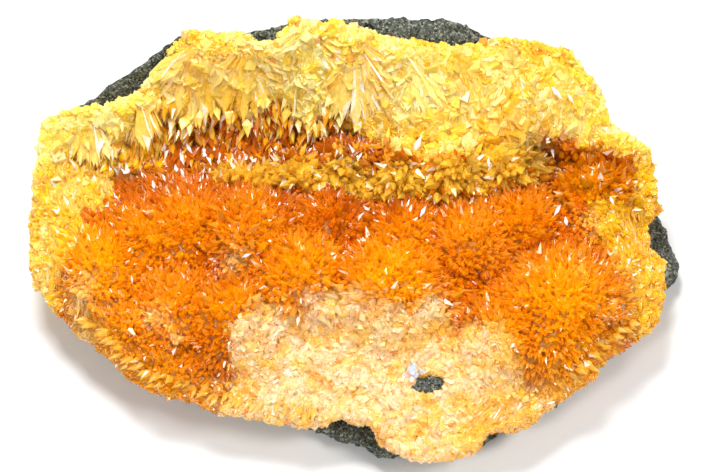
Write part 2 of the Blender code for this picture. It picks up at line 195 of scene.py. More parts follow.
# Places that stand out by their colour or by painted shade: centre, radius and strength
# Brown patches over holes and recesses that the surface doesn't have: painted shade
PAINTED_HOLE_SHADE = [
    (-43, 13, 3, 0.8), (34, 15.5, 3.4, 0.8), (30, 17, 2.4, 0.6), (-1, 13.5, 1.8, 0.8),
    (21, 12.5, 1.6, 0.6), (-16, 17, 3, 0.5), (-28, 17.5, 3, 0.4),
]
RUST_SPOTS = [
    (-9.5, -14.5, 2.6, 0.8), (2.5, -15.5, 2.2, 0.8), (-19, -28, 2.2, 0.45), (-6, -26.5, 2.4, 0.45),
    (-14, -24, 1.6, 0.4), (19, -17.5, 2.4, 0.7), (28, -33, 2.4, 0.5), (6, -36.5, 2, 0.35),
]
# Red-brown patches in front of the lip, where the golden crystals overhang, and between the mounds: painted
# shade
PAINTED_SHADE_SPOTS = [
    (-2, 6.5, 3.6, 0.6), (8, 6, 4, 0.7), (17, 6.5, 4, 0.6), (-14, 5.5, 3, 0.5), (-27, 9, 4, 0.4),
    (29, 9.5, 3, 0.5), (-24, -8, 3.5, 0.5), (-33, -21, 3, 0.35), (-2, -2, 3, 0.3),
]
PALE_SPOTS = [
    (-50, -12, 2.4, 0.8), (-36, -17.5, 1.8, 0.9), (-33, -20, 1.4, 0.8), (-49.5, -17, 3, 0.75),
    (-45, -24, 3, 0.5), (-20, -27, 2.4, 0.8), (-21.5, -6.5, 2.4, 0.6), (-25, -29, 2.2, 0.5),
    (40, -10, 1.4, 0.5), (49, -8, 2.2, 0.4), (27, 9.5, 1.6, 0.5), (43, 2, 2, 0.6), (33, -31, 3.4, 0.7),
    (28, -25, 2.4, 0.6),
]
GOLD_SPOTS = [
    (44, -21.5, 3, 0.6), (39, -28, 5, 0.8), (47.5, -15.5, 2.6, 0.6), (35, -24, 2.6, 0.5),
    (-38, -29, 3, 0.5), (-28, -31.5, 3, 0.5), (22, 1, 2.4, 0.5), (24, -6, 2.4, 0.4), (55, -12, 3, 0.6),
    (51, -1, 2.4, 0.5),
]
WALL_STAINS = [
    (-31, 31, 4, 0.6), (-25, 33, 3, 0.5), (-23.5, 28, 3, 0.6), (2.8, 31, 3.5, 0.6), (4, 25, 3, 0.6),
    (32, 33, 3.4, 0.6), (19.5, 29, 3, 0.6), (26.7, 20.5, 3.6, 0.9), (13.8, 32, 2.4, 0.5),
    (27, 24.5, 3, 0.7), (35, 22.5, 3.4, 0.7), (-44, 19, 3, 0.6), (-50, 14, 2.6, 0.5), (42, 24, 3, 0.4),
    (12, 19, 3, 0.5),
]

# Near-white crystals whose broken face throws the light back, as painted glints: place, length, and which way
# they point
PAINTED_GLINTS = [
    (-31.5, 19.5, 3, 120), (-32.8, 17.2, 2.8, 110), (-33.8, 15, 2.2, 105), (-32.4, 12.5, 2, 110),
    (-28.7, 13, 1.8, 60), (-35.7, 11, 1.8, 110), (-37.6, 9.5, 2, 100), (-39.8, 11.8, 1.4, 110),
    (-20.8, 17.5, 1.6, 60), (-17.3, 15.5, 1.4, 70), (-4.2, 24.8, 2, 110), (-2, 23, 1.6, 110),
    (3.1, 16.3, 2.4, 100), (-8.1, 13, 1.8, 70), (0.7, 14.2, 1.6, 60), (11.4, 16.5, 4, 65),
    (24.5, 12.5, 2, 90), (25.8, 8, 1.8, 80), (16.8, 7, 1.8, 110), (12.3, 2.8, 3, 65),
    (1.8, 4.4, 1.6, 130), (37, 3.4, 2.6, 60), (38.6, 1.6, 2, 100), (37.4, 25.4, 4, 120),
    (40, 24.6, 2.6, 120), (47, 4.8, 2.2, 110), (-40.7, -10.5, 1.6, 100), (-20, -6.6, 2, 20),
    (28, -23.5, 1.8, 60), (35, -32, 1.8, 20),
]
CHALK_SPOT = (10.3, -25.6, 1.5)

# Ends where long crystals lie along the edge: directions from and to, and which way round they point
COLUMNS = [(164, 198, 1), (340, 384, -1), (298, 320, -1)]

# Directions between which single teeth stand out from the edge, and how far in from it they begin
TEETH = [(196, 258), (322, 342)]
TOOTH_INSET = 2.6

# From where to where along the wall's foot teeth hang over the hollow
HANGING_REACH = (-52, 10)

# Colours as they look on the screen, chosen and adjusted until the picture was near the photograph
# Near white for the painted glints
GLINT_WHITE = (255, 252, 240)
CREAM = (252, 226, 156)
PALE_YELLOW = (252, 208, 84)
STRAW = (250, 194, 50)
YELLOW = (253, 196, 20)
GOLD = (246, 172, 30)
LIP_GOLD = (240, 186, 52)
CORE_ORANGE = (240, 166, 5)
ORANGE = (226, 142, 3)
DEEP_ORANGE = (200, 104, 2)
# Red-brown for the painted shade of the hollow and its patches
PAINTED_SHADE_RED_BROWN = (180, 84, 6)
RUST = (214, 120, 24)
# Brown for the painted shade over holes
PAINTED_HOLE_BROWN = (120, 66, 14)
CHALK = (196, 212, 208)
ROCK_DARK = (58, 62, 54)
ROCK_MID = (102, 108, 96)
ROCK_FLECK = (158, 162, 146)

# The way towards the camera and the lights: crystal faces that look this way may be painted near white, a
# painted glint
PAINTED_GLINT_WAY = np.array([-0.1, -0.3, 0.95])

# What the colour is multiplied by at the root of a crystal, where it is thick, and at its thin tip: partly
# the deeper colour of thick calcite, partly painted shade among the roots and painted light on the tips
ROOT_PAINTED_SHADE = np.array([0.9, 0.78, 0.7])
TIP_PAINTED_LIGHT = np.array([1.03, 1.1, 1.3])
PALE_ROOT_PAINTED_SHADE = np.array([0.98, 0.86, 0.56])
PALE_TIP_PAINTED_LIGHT = np.array([1.02, 1.06, 1.5])

# The wall is made lighter and a cleaner yellow, the broken front duller and darker: partly their own colour,
# partly painted light on the wall, which faces away from the key light, and painted shade on the front
WALL_TONE_AND_LIGHT = np.array([1.05, 1.16, 0.86])
FRONT_TONE_AND_SHADE = np.array([0.93, 0.85, 0.88])

# How much lighter a rust stain is on a grain than on the crust
STAIN_LIGHT = 1.2

# The rock's black grains, as the shader's own light values
BLACK_GRAIN = (0.012, 0.013, 0.011, 1)

# Calcite's refraction, and how far light scatters in it, in metres
CALCITE_IOR = 1.66
SCATTER_SCALE = 0.002

# Depth of the grain in each material's surface, in metres
CALCITE_GRAIN = 0.0001
ROCK_GRAIN = 0.0002

# The studio: each light's place, size and power, and the camera's lens, height in degrees and distance
WORLD_LIGHT = 0.24
LIGHTS = [
    ("key", (-0.1, 0.3, 0.56), (0.22, 0.18), 3.7),
    ("fill", (0.35, -0.1, 0.5), (0.2, 0.18), 1.5),
    ("front", (-0.25, -0.3, 0.45), (0.12, 0.12), 1.0),
]
CAMERA_LENS = 124
CAMERA_ELEVATION = 62
CAMERA_AWAY = 0.45
CAMERA_TARGET = (-0.0004, 0, 0.015)

# The floor: lines each way, half its width, and how far it lies under the specimen
FLOOR_LINES = 41
FLOOR_HALF = 1500
FLOOR_DROP = 0.02


def linear(colour):
    """A screen colour of 0 to 255 as the shader's light values."""
    share = np.array(colour) / 255
    return np.where(share <= 0.04045, share / 12.92, ((share + 0.055) / 1.055) ** 2.4)


def smooth_step(low, high, value):
    """0 before low, 1 past high, and a smooth change between; low may be the greater."""
    share = np.clip((value - low) / (high - low), 0, 1)
    return share * share * (3 - 2 * share)


def lattice_draws(cell, seed):
    """Three whole numbers from 0 to DRAW_TOP for each cell of a cubic lattice, by hashing its place."""
    mixed = seed * HASH_SEED
    for k, prime in enumerate(HASH_PRIMES):
        mixed = mixed ^ cell[..., k] * prime
    for shift, prime in HASH_ROUNDS:
        mixed = (mixed ^ (mixed >> shift)) * prime & HASH_LIMIT
    return np.stack([mixed >> shift & DRAW_TOP for shift in (0, 10, 20)], -1)


def noise(points, size, seed=0):
    """Smooth noise of about -1 to 1: a random slope at each corner of a cubic lattice, blended between."""
    scaled = points / size
    cell = np.floor(scaled).astype(np.int64)
    inside = scaled - cell
    blend = inside**3 * (inside * (inside * 6 - 15) + 10)
    total = np.zeros(points.shape[:-1])
    for corner in np.ndindex(2, 2, 2):
        slope = lattice_draws(cell + corner, seed) / (DRAW_TOP / 2) - 1
        weight = np.prod(np.where(corner, blend, 1 - blend), -1)
        total += weight * np.sum(slope * (inside - corner), -1)
    return total * NOISE_GAIN


def rough(points, size, octaves, seed=0):
    """Broken relief: noise of halving size and strength laid on top of each other."""
    return sum(noise(points, size / 2**k, seed + k) / 2**k for k in range(octaves))


def by_direction(rows):
    """A table sorted by direction, with its two ends carried past each other to close the circle."""
    rows = sorted(rows)
    last, first = rows[-1], rows[0]
    return np.array([(last[0] - 360, last[1])] + rows + [(first[0] + 360, first[1])])


def polar(outline):
    """An outline as a closed table of (direction, distance) rows."""
    return by_direction([(math.degrees(math.atan2(y, x)) % 360, math.hypot(x, y)) for x, y in outline])


CRUST_REACH = polar(CRUST_OUTLINE)
ROCK_REACH = polar(ROCK_OUTLINE)
EDGE_HEIGHTS = by_direction(CRUST_EDGE)


def look_up(table, value, column=1):
    """A column of a table at a value of its first column, in straight lines between its rows."""
    table = np.asarray(table)
    return np.interp(value, table[:, 0], table[:, column])


def direction(x, y):
    """The direction of a place from the middle, in degrees from 0 to 360."""
    return np.degrees(np.arctan2(y, x)) % 360


def crust_share(x, y):
    """How far out a place is, from 0 in the middle to 1 on the crust's outline."""
    return np.hypot(x, y) / look_up(CRUST_REACH, direction(x, y))


def mound_height(mound, x, y):
    """A mound's surface: its top, less a drop that grows as the square of the way out."""
    cx, cy, radius, top = mound[:4]
    return top - MOUND_DROP * ((x - cx) ** 2 + (y - cy) ** 2) / radius**2


def wall_height(x, y):
    """The back wall: a broken face from its foot to its rim, with a sheer drop in front of the foot."""
    foot_y, foot_z = look_up(WALL_FOOT, x), look_up(WALL_FOOT, x, 2)
    rim_y, rim_z = look_up(WALL_RIM, x), look_up(WALL_RIM, x, 2)
    climb = (y - foot_y) / np.maximum(6, rim_y - foot_y)
    face = foot_z + (rim_z - foot_z) * np.clip(climb, 0, 1.1) ** 0.85
    return np.where(climb < 0, foot_z + WALL_DROP * (y - foot_y), face)


def hollow_share(x, y):
    """1 in the hollow between the lip and the back wall, 0 elsewhere."""
    return smooth_step(HOLLOW[0][1] + 6, HOLLOW[0][1], x) * smooth_step(*HOLLOW[1], y)


def floor_height(x, y):
    """The crust between its mounds: lower in the hollow behind them and on the broken front."""
    front = smooth_step(FRONT[0][0] - 6, FRONT[0][0], x) * smooth_step(FRONT[0][1] + 6, FRONT[0][1], x)
    front = front * smooth_step(*FRONT[1], y)
    height = FLOOR + (HOLLOW_FLOOR - FLOOR) * hollow_share(x, y) + (FRONT_FLOOR - FLOOR) * front
    return height - FRONT_SLOPE * np.maximum(0, FRONT[1][1] - y)


def crust_top(x, y):
    """Height of the crust's upper surface: the mounds, the lip, the back wall and the broken front."""
    heights = [mound_height(mound, x, y) for mound in MOUNDS + LIP]
    heights = np.array(heights + [wall_height(x, y), floor_height(x, y)])
    top = heights.max(0)
    height = top + BLEND * np.log(np.exp((heights - top) / BLEND).sum(0))
    edge = look_up(EDGE_HEIGHTS, direction(x, y))
    return height + (edge - height) * smooth_step(*CRUST_EDGE_BLEND, crust_share(x, y))


def seat(y):
    """Height of the surface where the crust sits on the rock."""
    return SEAT_FRONT + (SEAT_BACK - SEAT_FRONT) * smooth_step(*SEAT_CLIMB, y)


def ragged(x, y, size, depth, seed):
    """Uneven shift of a border between two kinds of crystal."""
    return depth * rough(np.stack([x, y, 0 * x], -1), size, 3, seed)


def spots(rows, x, y):
    """The strength of the nearest of some round soft-edged places."""
    near = [strength * np.exp(-((x - cx) ** 2 + (y - cy) ** 2) / r**2) for cx, cy, r, strength in rows]
    return np.max(near, 0)


def on_front(x, y):
    """1 on the pale broken front, 0 on the mounds."""
    line = look_up(FRONT_LINE, x + ragged(x, y, 7, 3, 63)) + ragged(x, y, 8, 3.2, 61)
    return smooth_step(line + 1.4, line - 1.4, y)


def on_wall(x, y):
    """1 on the back wall, 0 in front of it."""
    foot = look_up(WALL_LINE, x) + ragged(x, y, 4, 1.2, 67)
    return smooth_step(foot - 0.6, foot + 0.6, y)


def on_ends(x, y):
    """1 on the yellow crystals of the left-hand and right-hand ends, as (left, right)."""
    shift = ragged(x, y, 6, 2.4, 73)
    left, right = look_up(LEFT_END, y) + shift, look_up(RIGHT_END, y) + shift
    inside_left = smooth_step(-17, -14, y) * smooth_step(left + 0.8, left - 0.8, x)
    inside_right = smooth_step(-26, -22, y) * smooth_step(right - 0.8, right + 0.8, x)
    return inside_left, inside_right


def on_lip(x, y):
    """1 along the ridge of golden crystals."""
    away = (y - look_up(LIP_LINE, x) - ragged(x, y, 4, 1.2, 79)) / LIP_WIDTH
    return smooth_step(1.1, 0.75, np.abs(away)) * smooth_step(-29, -23, x) * smooth_step(37, 34, x)


def glow(x, y):
    """How near a place is to the bright middle of its mound."""
    near = [light * np.exp(-1.5 * ((x - cx) ** 2 + (y - cy) ** 2) / r**2) for cx, cy, r, _, light in MOUNDS]
    return np.max(near, 0)


def mix(first, second, share):
    """Two colours mixed: the first at a share of 0 and the second at 1."""
    return first + (second - first) * share[..., None]


def unit(vectors):
    """The same directions with a length of 1."""
    return vectors / np.maximum(np.linalg.norm(vectors, axis=-1, keepdims=True), 1e-9)


def fan_streaks(x, y):
    """Streaks that spread from the nearest fan's root: their strength, -1 to 1, and how far in a fan."""
    inside, streak = np.zeros_like(x), np.zeros_like(x)
    for k, (cx, cy, reach) in enumerate(FANS):
        turn = np.arctan2(x - cx, cy - y)
        away = np.hypot(x - cx, y - cy) / reach
        near = smooth_step(1.3, 1.0, away) * smooth_step(1.3, 0.9, np.abs(turn))
        ray = noise(np.stack([turn * 13, away * 1.6, 0 * x + 9.0 * k], -1), 1.0, 5)
        streak = np.where(near > inside, ray, streak)
        inside = np.maximum(inside, near)
    return streak, inside


def pale_colour(points):
    """The broken calcite's colour: yellow to cream by place, with golden and amber stains, the wall lighter
    and the front darker, partly painted light and shade.
    """
    x, y = points[..., 0], points[..., 1]
    cream = smooth_step(-0.35, 0.6, rough(points, 3, 3, 3) + 0.25 * on_front(x, y))
    colour = mix(linear(PALE_YELLOW), linear(CREAM), cream)
    stain = smooth_step(0.1, 0.7, rough(points, 7, 3, 9) + 0.5 * smooth_step(2, 18, x))
    colour = mix(colour, linear(STRAW), 0.85 * stain)
    streak, inside = fan_streaks(x, y)
    colour = mix(colour, linear(STRAW), inside * smooth_step(0.0, 0.45, streak))
    colour = mix(colour, linear(CREAM), 0.8 * inside * smooth_step(-0.05, -0.45, streak))
    speck = smooth_step(0.5, 0.9, rough(points, 2.6, 2, 17))
    colour = mix(colour, linear(GOLD), np.maximum(0.7 * speck, spots(WALL_STAINS, x, y)))
    # The wall lighter and yellower, the front darker: partly their own colour, partly painted light and shade
    shade = 1 + (WALL_TONE_AND_LIGHT - 1) * on_wall(x, y)[..., None] + (FRONT_TONE_AND_SHADE - 1) * on_front(x, y)[..., None]
    return colour * shade


def calcite_colour(points):
    """The calcite's colour from place to place: by mound, lip, hollow, wall, front and end, with painted
    shade in the hollow, in red-brown patches and over its holes.
    """
    x, y = points[..., 0], points[..., 1]
    wander = rough(points, 5, 3, 5)
    warm = glow(x, y) + 0.22 * wander
    colour = mix(linear(DEEP_ORANGE), linear(ORANGE), smooth_step(-0.05, 0.35, warm))
    colour = mix(colour, linear(CORE_ORANGE), smooth_step(0.35, 0.85, warm))
    # The hollow behind the lip and the red-brown patches take a red-brown: painted shade
    painted_shade = hollow_share(x, y) * (1 - on_wall(x, y))
    painted_shade = np.maximum(0.75 * painted_shade * smooth_step(-0.8, 0.2, wander), spots(PAINTED_SHADE_SPOTS, x, y))
    colour = mix(colour, linear(PAINTED_SHADE_RED_BROWN), painted_shade)
    colour = mix(colour, linear(LIP_GOLD), on_lip(x, y))
    left, right = on_ends(x, y)
    end = mix(linear(YELLOW), linear(PALE_YELLOW), smooth_step(-0.3, 0.5, rough(points, 3.5, 3, 13)))
    colour = mix(colour, mix(end, linear(CREAM), 0.35 * smooth_step(0, 0.6, wander)), left)
    colour = mix(colour, mix(linear(YELLOW), end, smooth_step(0.1, 0.7, wander)), 0.85 * right)
    pale = np.maximum(on_wall(x, y), on_front(x, y))
    colour = mix(colour, pale_colour(points), pale)
    colour = mix(colour, linear(GOLD), spots(GOLD_SPOTS, x, y))
    colour = mix(colour, pale_colour(points), spots(PALE_SPOTS, x, y))
    rusty = spots(RUST_SPOTS, x, y) * smooth_step(-0.5, 0.4, rough(points, 2, 2, 19))
    colour = mix(colour, linear(RUST), rusty)
    # Brown over the holes: painted shade
    colour = mix(colour, linear(PAINTED_HOLE_BROWN), spots(PAINTED_HOLE_SHADE, x, y))
    from_chalk = np.hypot(x - CHALK_SPOT[0], y - CHALK_SPOT[1]) / CHALK_SPOT[2]
    return mix(colour, linear(CHALK), 0.9 * smooth_step(1.2, 0.7, from_chalk))


def from_knob(x, y):
    """How far a place is from the knob of rock, with 1 on its edge."""
    away = np.hypot((x - KNOB_PLACE[0]) / KNOB_SIZE[0], (y - KNOB_PLACE[1]) / KNOB_SIZE[1])
    return away + ragged(x, y, 2, 0.22, 83)


def mesh_object(name, points, faces, tint=None, smooth=False):
    """A mesh from arrays of places in millimetres, faces, and a colour for each corner of each face."""
    mesh = bpy.data.meshes.new(name)
    mesh.from_pydata((points * MM).tolist(), [], faces.tolist() if isinstance(faces, np.ndarray) else faces)
    if tint is not None:
        colours = np.ones((len(mesh.loops), 4), np.float32)
        colours[:, :3] = tint
        mesh.attributes.new("tint", "FLOAT_COLOR", "CORNER").data.foreach_set("color", colours.ravel())
    mesh.polygons.foreach_set("use_smooth", np.full(len(mesh.polygons), smooth))
    mesh.update()
    obj = bpy.data.objects.new(name, mesh)
    bpy.context.scene.collection.objects.link(obj)
    return obj


def shell(sectors, rings, place):
    """A closed surface carried round the upright axis, as (points, quads, pole triangles).

    place turns arrays of the turn, 0 to 1, and the way along, 0 at the top's middle to 1 at the
    underside's middle, into places; each end is closed in one point.
    """
    turn = np.arange(sectors) / sectors
    along = np.linspace(0, 1, rings + 1)
    grid = place(*np.meshgrid(turn, along[1:-1]))
    ends = place(np.zeros((1, 2)), np.array([[0.0, 1.0]])).reshape(2, 3)
    points = np.vstack([grid.reshape(-1, 3), ends])
    start = np.arange(rings - 2)[:, None] * sectors
    here = np.arange(sectors)[None]
    following = (here + 1) % sectors
    below = start + sectors
    quads = np.stack([start + here, below + here, below + following, start + following], -1).reshape(-1, 4)
    top, bottom = len(points) - 2, len(points) - 1
    last = (rings - 2) * sectors
    here, following = here[0], following[0]
    caps = np.vstack([
        np.stack([np.full(sectors, top), here, following], -1),
        np.stack([np.full(sectors, bottom), last + following, last + here], -1),
    ])
    return points, quads, caps


def shaken(points, size, depth, octaves, seed):
    """Places moved every way by broken relief."""
    move = [rough(points, size, octaves, seed + 10 * k) for k in range(3)]
    return points + depth * np.stack(move, -1)


def blocks(points, size, seed):
    """Broken blocks: every place lies on the tilted face of the nearest of a jittered lattice of seeds."""
    scaled = points / size
    cell = np.floor(scaled).astype(np.int64)
    nearest = np.full(points.shape[:-1], np.inf)
    height = np.zeros(points.shape[:-1])
    for offset in np.ndindex(3, 3, 3):
        key = cell + offset - 1
        draw = lattice_draws(key, seed) / DRAW_TOP
        away = scaled - (key + 0.1 + 0.8 * draw)
        distance = (away**2).sum(-1)
        closer = distance < nearest
        tilt = 2 * np.roll(draw, 1, -1) - 1
        height = np.where(closer, (away * tilt).sum(-1) + draw[..., 0] - 0.5, height)
        nearest = np.where(closer, distance, nearest)
    return height


def stages(along, top, side):
    """The way along a body parted at top and side: each share goes 0 to 1 over its own part."""
    out = np.clip(along / top, 0, 1)
    down = np.clip((along - top) / (side - top), 0, 1)
    back = np.clip((along - side) / (1 - side), 0, 1)
    return out, down, back


def crust_place(turn, along):
    """The crust without crystals: the top out to its outline, the side bulging, the underside back in."""
    angle = turn * 2 * math.pi
    out, down, back = stages(along, *CRUST_STAGES)
    swell = 1 + 0.02 * np.sin(math.pi * down) - 0.05 * down**2
    distance = look_up(CRUST_REACH, np.degrees(angle)) * out * swell * (1 - back)
    x, y = distance * np.cos(angle), distance * np.sin(angle)
    bed = seat(y)
    z = np.maximum(crust_top(x, y) - SKIN_DEPTH, bed + THINNEST)
    z = z - KNOB_PIT * smooth_step(1.25, 0.95, from_knob(x, y))
    z = z + (bed - z) * down
    return np.stack([x, y, z], -1)


def rock_place(turn, along):
    """The rock: its top under the crust with the knob, its broken side, and its flat underside."""
    angle = turn * 2 * math.pi
    out, down, back = stages(along, *ROCK_STAGES)
    swell = 1 + 0.02 * np.sin(math.pi * down) - (1 - ROCK_FOOT) * down**3
    distance = look_up(ROCK_REACH, np.degrees(angle)) * out * swell * (1 - back)
    x, y = distance * np.cos(angle), distance * np.sin(angle)
    z = seat(y) - SEAT_GAP - 0.3
    z = np.maximum(z, KNOB_TOP - KNOB_FALL * np.maximum(0, from_knob(x, y) - 1))
    z = z * (1 - down)
    return np.stack([x, y, z], -1)


def surface_normals(points, quads):
    """The outward direction at each corner of a surface, the mean of its faces' directions."""
    a, b, c, d = (points[quads[:, k]] for k in range(4))
    face = np.cross(c - a, d - b)
    total = np.zeros_like(points)
    for k in range(4):
        np.add.at(total, quads[:, k], face)
    return unit(total)


def make_rock():
    """The host rock, broken all round, with a grain of small flats."""
    points, quads, caps = shell(*ROCK_GRID, rock_place)
    outward = surface_normals(points, quads)
    broken = points + outward * (0.5 * blocks(points, 2.4, 7) + 0.3 * blocks(points, 1.1, 9))[:, None]
    broken = shaken(broken, 5, 0.4, 3, 31)
    broken[:, 2] = np.where(points[:, 2] < 0.02, np.maximum(0, 0.25 * noise(points, 3, 8)), broken[:, 2])
    broken[:, 2] = np.maximum(broken[:, 2], 0)
    return mesh_object("matrix_rock_surface", broken, quads.tolist() + caps.tolist())


def make_crust():
    """The body of the crust, with broken blocks on its open places; also where its crystals stand."""
    points, quads, caps = shell(*CRUST_GRID, crust_place)
    x, y = points[:, 0], points[:, 1]
    open_skin = np.clip(on_wall(x, y) + on_front(x, y) + sum(on_ends(x, y)), 0, 1)
    outward = surface_normals(points, quads)
    relief = 0.55 * blocks(points, 3.2, 3) + 0.38 * blocks(points, 1.5, 5)
    moved = points + outward * (relief * (0.35 + 0.55 * open_skin))[:, None]
    moved = shaken(moved, 4.5, 0.4, 2, 11)
    moved[:, 2] = np.maximum(moved[:, 2], seat(y) - 0.2)
    faces = quads.tolist() + caps.tolist()
    # Raised blocks are lighter and sunken ones deeper in colour: painted light and painted shade from the
    # relief
    colour = calcite_colour(moved) * (1 + 0.16 * np.clip(relief, -1, 1))[:, None]
    corners = np.concatenate([quads.ravel(), caps.ravel()])
    return mesh_object("calcite_base", moved, faces, np.clip(colour, 0, 1)[corners]), moved, quads


def skin_points(points, quads, count, rng, wanted):
    """Random places on a surface, even by area where wanted(centre, normal) is 1, as (places, normals)."""
    a, b, c, d = (points[quads[:, k]] for k in range(4))
    normal = np.cross(c - a, d - b)
    area = np.linalg.norm(normal, axis=1)
    normal /= np.maximum(area, 1e-9)[:, None]
    centre = (a + b + c + d) / 4
    weight = area * wanted(centre, normal)
    chosen = rng.choice(len(quads), count, p=weight / weight.sum())
    s, t = rng.random((2, count, 1))
    place = a[chosen] * (1 - s) * (1 - t) + b[chosen] * s * (1 - t)
    place = place + c[chosen] * s * t + d[chosen] * (1 - s) * t
    return place, normal[chosen]


def radiating(points):
    """Which way the crystals of a mound point: away from a root deep under the mound's middle."""
    x, y = points[:, 0], points[:, 1]
    every = np.array(MOUNDS + LIP)
    heights = np.array([mound_height(mound, x, y) for mound in every])
    cx, cy, radius, top, _ = every[heights.argmax(0)].T
    return unit(np.stack([x - cx, y - cy, crust_top(x, y) - top + 1.0 * radius], -1))


def crystals(
    name, root, axis, length, width, tint, rng, sides=6, shoulder=0.42, flat=1.0, glint_share=0.007, pale=False
):
    """Dogteeth: each is two points joined by a ring whose corners lie alternately in and out, high and low.

    The foot is at the root and the tip a length along the axis; the ring is the width across, at the
    shoulder; flat squeezes it one way. Faces differ a little in tint; roots are deeper, partly for their
    thickness and partly as painted shade among the crystals, and tips paler, partly painted light; and a
    share of the faces that look towards the camera and the lights is near white, a painted glint.
    """
    count = len(root)
    helper = np.where(np.abs(axis[:, 2:]) < 0.9, [[0, 0, 1]], [[1, 0, 0]])
    across = unit(np.cross(axis, helper))
    up = np.cross(axis, across)
    turn = rng.uniform(0, 2 * math.pi, (count, 1)) + np.arange(sides) * 2 * math.pi / sides
    turn = turn + rng.uniform(-0.12, 0.12, (count, sides))
    inset = np.where(np.arange(sides) % 2, 0.8, 1.0) * rng.uniform(0.85, 1.12, (count, sides))
    level = shoulder + np.where(np.arange(sides) % 2, 0.05, -0.05) + rng.uniform(-0.03, 0.03, (count, sides))
    reach = 0.5 * width[:, None] * inset
    ring = (
        root[:, None]
        + axis[:, None] * (level * length[:, None])[..., None]
        + across[:, None] * (reach * np.cos(turn))[..., None]
        + up[:, None] * (reach * flat * np.sin(turn))[..., None]
    )
    tip = root + axis * length[:, None]
    points = np.concatenate([ring, root[:, None], tip[:, None]], 1)
    k = np.arange(sides)
    after = (k + 1) % sides
    upper = np.stack([k, after, np.full(sides, sides + 1)], -1)
    lower = np.stack([after, k, np.full(sides, sides)], -1)
    template = np.vstack([upper, lower])
    faces = (template[None] + (np.arange(count) * (sides + 2))[:, None, None]).reshape(-1, 3)
    a, b, c = (points[:, template[:, k]] for k in range(3))
    # Faces that look towards the camera and the lights turn near white at random: painted glints
    facing = (unit(np.cross(b - a, c - a)) * PAINTED_GLINT_WAY).sum(-1)
    glint_face = (rng.random((count, 2 * sides)) < 3 * glint_share) & (facing > 0.7)
    share = np.concatenate([np.full(sides, 0.45), [0.0, 1.0]])[template]
    light = rng.uniform(0.93, 1.06, (count, 2 * sides, 1, 1))
    painted_root_shade, bright = (PALE_ROOT_PAINTED_SHADE, PALE_TIP_PAINTED_LIGHT) if pale else (ROOT_PAINTED_SHADE, TIP_PAINTED_LIGHT)
    corner = tint[:, None, None] * light * (painted_root_shade + (bright - painted_root_shade) * share[None, ..., None])
    glint_whiteness = np.where(glint_face, rng.uniform(0.5, 1.0, (count, 2 * sides)), 0)[..., None, None]
    corner = corner + (linear(GLINT_WHITE) - corner) * glint_whiteness
    return mesh_object(name, points.reshape(-1, 3), faces, np.clip(corner, 0, 1).reshape(-1, 3))


def joined(name, parts):
    """Several pieces of one kind made one mesh."""
    points, faces, tints, offset = [], [], [], 0
    for part in parts:
        mesh = part.data
        place = np.empty(len(mesh.vertices) * 3, np.float32)
        mesh.vertices.foreach_get("co", place)
        corner = np.empty(len(mesh.loops), np.int32)
        mesh.loops.foreach_get("vertex_index", corner)
        tint = np.empty(len(mesh.loops) * 4, np.float32)
        mesh.attributes["tint"].data.foreach_get("color", tint)
        points.append(place.reshape(-1, 3) / MM)
        faces.append(corner.reshape(-1, 3) + offset)
        tints.append(tint.reshape(-1, 4)[:, :3])
        offset += len(mesh.vertices)
        bpy.data.objects.remove(part)
    return mesh_object(name, np.vstack(points), np.vstack(faces), np.vstack(tints))


def tuft_places():
    """The places, directions and heights of the solid model's large crystals, from the same draws."""
    rng = random.Random(TUFT_SEED)
    rise = TUFT_SPACING * 0.87
    found = []
    for j in range(int(LATTICE[1] / rise)):
        for i in range(int(LATTICE[0] / TUFT_SPACING)):
            x = (i + 0.5 * (j % 2) + rng.uniform(-0.25, 0.25)) * TUFT_SPACING - LATTICE[0] / 2
            y = (j + rng.uniform(-0.25, 0.25)) * rise - LATTICE[1] / 2
            front = FRONT[0][0] < x < FRONT[0][1] and y < FRONT[1][0] - 0.12 * abs(x - 8)
            if y < look_up(WALL_FOOT, x) and crust_share(x, y) < 0.995 and not front:
                lean = (rng.gauss(0, 0.16), rng.gauss(0, 0.16), 0)
                height = rng.uniform(*TUFT_HEIGHTS)
                sides = rng.choice((3, 4, 4, 5))
                for _ in range(2 + 3 * sides):
                    rng.random()
                found.append((x, y, height, *lean))
    return np.array(found)


